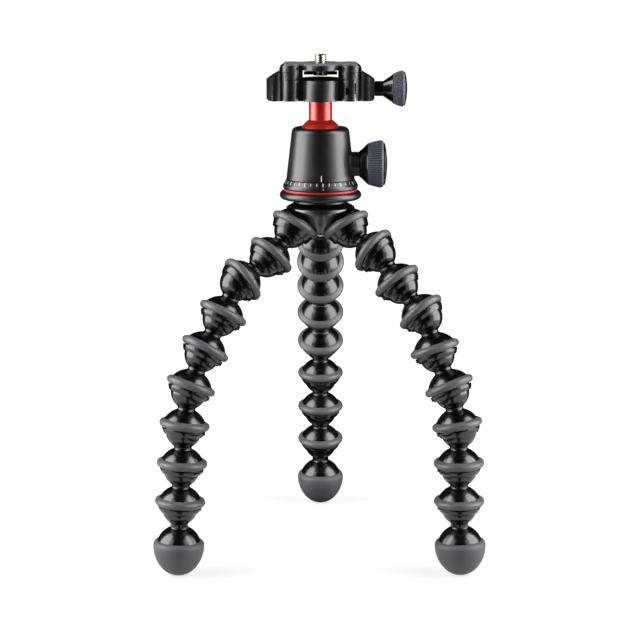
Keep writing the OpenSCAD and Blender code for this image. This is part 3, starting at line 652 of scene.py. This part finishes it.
def makeThread(low, high):
    pitch = screw["pitch"]
    turns = int((high - low) / pitch) + 3
    crestStart, crestEnd = screw["crest"]
    tooth = [(screw["minorR"], 0), (screw["majorR"], crestStart), (screw["majorR"], crestEnd),
             (screw["minorR"], screw["root"]), (screw["minorR"], pitch)]
    bm = bmesh.new()
    ring = [bm.verts.new((r * mm, 0, (low - 1.5 * pitch + s) * mm)) for r, s in tooth]
    edges = [bm.edges.new(pair) for pair in zip(ring, ring[1:])]
    bmesh.ops.spin(bm, geom=ring + edges, cent=(0, 0, 0), axis=(0, 0, 1), angle=2 * pi * turns,
                   steps=screw["steps"] * turns, dvec=(0, 0, pitch * mm / screw["steps"]), use_merge=False)
    bmesh.ops.remove_doubles(bm, verts=bm.verts, dist=2e-6)
    for height, side in ((low, -1), (high, 1)):
        everything = bm.verts[:] + bm.edges[:] + bm.faces[:]
        cut = bmesh.ops.bisect_plane(bm, geom=everything, plane_co=(0, 0, height * mm),
                                     plane_no=(0, 0, side), clear_outer=True)
        rim = [e for e in cut["geom_cut"] if isinstance(e, bmesh.types.BMEdge)]
        bmesh.ops.edgeloop_fill(bm, edges=rim)
    for v in bm.verts:
        radius = sqrt(v.co.x ** 2 + v.co.y ** 2)
        over = v.co.z / mm - (high - screw["chamfer"])
        most = (screw["majorR"] - max(0, over) * screw["chamferSlope"]) * mm
        if radius > most:
            v.co.x *= most / radius
            v.co.y *= most / radius
    bmesh.ops.recalc_face_normals(bm, faces=bm.faces)
    makePiece(bm, "screw_thread", upright(0), "turnedSteel", "camera_screw", ["camera_screw"], sharp=25)


makeLinks()
makeFeet()
makeHub()
makeBase()
makeHead()
makeKnob(lockKnob)
makeKnob(clampKnob)
makeClamp()
hidden = {"hub_stud": "turnedSteel", "pan_washer": "naturalNylon", "spindle_nut": "turnedSteel",
          "bearing_plate": "turnedSteel", "ball_seat": "naturalNylon", "wedge_plunger": "turnedBrass",
          "lock_screw": "turnedSteel", "clamp_bolt": "turnedSteel", "guide_pins": "turnedSteel",
          "clamp_screw": "turnedSteel"}
for name, finish in hidden.items():
    dressSolid(name, finish)


# Stage: white sweep, a tall soft box on each side, two weak ones in front, dark flags seen only in reflections

stage = {"floorSize": 40.0, "floorMatte": 0.3, "floorNear": 0.72, "nearR": 0.1, "farR": 0.32,
         "worldLevel": 0.12, "front": 34, "back": 106, "cards": {"left": 13, "right": 13, "rear": 7},
         "flagR": 2.2, "flagHeight": 2.4, "flagLevel": 0.01, "flagSteps": 32, "ceilingHole": 0.01,
         "cardLevel": 0.02, "cardLift": 0.0005, "cardStart": 0.03, "frontCardStart": 0.45}
softBoxes = {  # turn from the camera, distance, height, height it faces, (width, height), brightness
    "left_box": (-79, 0.65, 0.56, 0.56, (0.58, 1.12), 6.2),
    "right_box": (79, 0.65, 0.56, 0.56, (0.58, 1.12), 6.0),
    "left_key": (-48, 0.95, 0.72, 0.15, (0.45, 0.5), 2.0),
    "right_key": (48, 0.95, 0.72, 0.15, (0.45, 0.5), 1.9),
}


def rayMix(tree):
    path = addNode(tree, "ShaderNodeLightPath", {}, {})
    seen = path.outputs["Is Camera Ray"]
    for kind in ("Is Glossy Ray", "Is Transmission Ray"):
        seen = addNode(tree, "ShaderNodeMath", {"operation": "MAXIMUM"},
                       {0: seen, 1: path.outputs[kind]}).outputs[0]
    return seen


def makeFloor():
    bm = bmesh.new()
    bmesh.ops.create_grid(bm, x_segments=4, y_segments=4, size=stage["floorSize"] / 2)
    mesh = bpy.data.meshes.new("floor")
    bm.to_mesh(mesh)
    bm.free()
    floor = bpy.data.objects.new("floor", mesh)
    bpy.context.scene.collection.objects.link(floor)
    material = bpy.data.materials.new("white_sweep")
    material.use_nodes = True
    tree = material.node_tree
    tree.nodes.clear()
    place = addNode(tree, "ShaderNodeTexCoord", {}, {}).outputs["Object"]
    away = addNode(tree, "ShaderNodeVectorMath", {"operation": "LENGTH"}, {0: place}).outputs["Value"]
    level = addNode(tree, "ShaderNodeMapRange", {"interpolation_type": "SMOOTHSTEP"}, {
        "Value": away, "From Min": stage["nearR"], "From Max": stage["farR"], "To Min": stage["floorNear"],
        "To Max": 1.0}).outputs["Result"]
    seen = addNode(tree, "ShaderNodeMath", {"operation": "MULTIPLY"}, {0: level, 1: rayMix(tree)}).outputs[0]
    gray = stage["floorMatte"]
    matte = addNode(tree, "ShaderNodeBsdfDiffuse", {}, {"Color": (gray, gray, gray, 1)})
    glow = addNode(tree, "ShaderNodeEmission", {}, {"Color": (1, 1, 1, 1), "Strength": seen})
    both = addNode(tree, "ShaderNodeAddShader", {}, {0: matte.outputs[0], 1: glow.outputs[0]})
    addNode(tree, "ShaderNodeOutputMaterial", {}, {"Surface": both.outputs[0]})
    mesh.materials.append(material)


def makeWorld():
    world = bpy.data.worlds.new("studio")
    bpy.context.scene.world = world
    world.use_nodes = True
    tree = world.node_tree
    tree.nodes.clear()
    level = addNode(tree, "ShaderNodeMapRange", {}, {
        "Value": rayMix(tree), "To Min": stage["worldLevel"], "To Max": 1.0})
    glow = addNode(tree, "ShaderNodeBackground", {}, {"Color": (1, 1, 1, 1), "Strength": level.outputs[0]})
    addNode(tree, "ShaderNodeOutputWorld", {}, {"Surface": glow.outputs[0]})


def makeBoxes():
    for name, (turn, away, up, faces, (wide, tall), level) in softBoxes.items():
        turn = radians(turn - 90)
        spot = Vector((away * cos(turn), away * sin(turn), up))
        lamp = bpy.data.lights.new(name, "AREA")
        lamp.shape = "RECTANGLE"
        lamp.size, lamp.size_y = wide, tall
        lamp.energy = level * pi * wide * tall
        box = bpy.data.objects.new(name, lamp)
        bpy.context.scene.collection.objects.link(box)
        box.location = spot
        box.rotation_euler = (Vector((0, 0, faces)) - spot).to_track_quat("-Z", "Y").to_euler()
        box.visible_camera = False


def flagCloth(name, level):
    material = bpy.data.materials.new(name)
    material.use_nodes = True
    tree = material.node_tree
    tree.nodes.clear()
    cloth = addNode(tree, "ShaderNodeEmission", {}, {"Color": (level, level, level, 1), "Strength": 1.0})
    addNode(tree, "ShaderNodeOutputMaterial", {}, {"Surface": cloth.outputs[0]})
    return material


def makeFlags():
    radius, tall = stage["flagR"], stage["flagHeight"]
    velvet = flagCloth("black_velvet", stage["flagLevel"])
    paper = flagCloth("gray_card", stage["cardLevel"])
    front, back = stage["front"], stage["back"]
    middle = Vector((0, 0, 0))
    lift = stage["cardLift"]
    wall = [(radius, lift), (radius, tall)]
    ground = [(stage["cardStart"], lift), (radius, lift)]
    frontGround = [(stage["frontCardStart"], lift), (radius, lift)]
    sheets = [("ceiling", middle, (0, 360), [(stage["ceilingHole"], tall), (radius, tall)], velvet),
              ("front_wall", middle, (-front, front), wall, velvet),
              ("back_wall", middle, (back, 360 - back), wall, velvet),
              ("front_card", middle, (-front, front), frontGround, paper),
              ("back_card", middle, (back, 360 - back), ground, paper)]
    for leg, card in stage["cards"].items():  # a wedge of dark card gives each leg's gloss its black middle
        toe = jointAt[f"{leg}_foot"]
        sheets.append((f"{leg}_card", Vector((toe.x, toe.y, 0)), (-card, card), ground, paper))
    for name, centre, (start, end), outline, cloth in sheets:
        bm = bmesh.new()
        pair = [bm.verts.new((x, 0, z)) for x, z in outline]
        edge = bm.edges.new(pair)
        bmesh.ops.rotate(bm, verts=pair, cent=(0, 0, 0), matrix=Matrix.Rotation(radians(start - 90), 3, "Z"))
        bmesh.ops.spin(bm, geom=pair + [edge], cent=(0, 0, 0), axis=(0, 0, 1), angle=radians(end - start),
                       steps=stage["flagSteps"])
        bmesh.ops.translate(bm, verts=bm.verts, vec=centre)
        mesh = bpy.data.meshes.new(name)
        bm.to_mesh(mesh)
        bm.free()
        mesh.materials.append(cloth)
        flag = bpy.data.objects.new(name, mesh)
        bpy.context.scene.collection.objects.link(flag)
        flag.visible_camera = False
        flag.visible_diffuse = False
        flag.visible_shadow = False


camera = {"focal": 1877, "frame": 640, "sensor": 36, "back": 1033, "height": 337, "pitch": 11.12,
          "aside": -0.28}


def makeCamera():
    data = bpy.data.cameras.new("camera")
    data.sensor_width = camera["sensor"]
    data.lens = data.sensor_width * camera["focal"] / camera["frame"]
    view = bpy.data.objects.new("camera", data)
    bpy.context.scene.collection.objects.link(view)
    view.location = (headAxis.x + camera["aside"] * mm, headAxis.y - camera["back"] * mm, camera["height"] * mm)
    view.rotation_euler = (radians(90 - camera["pitch"]), 0, 0)
    bpy.context.scene.camera = view


makeFloor()
makeWorld()
makeBoxes()
makeFlags()
makeCamera()
bpy.context.scene.view_settings.view_transform = "Standard"
print("stage made")
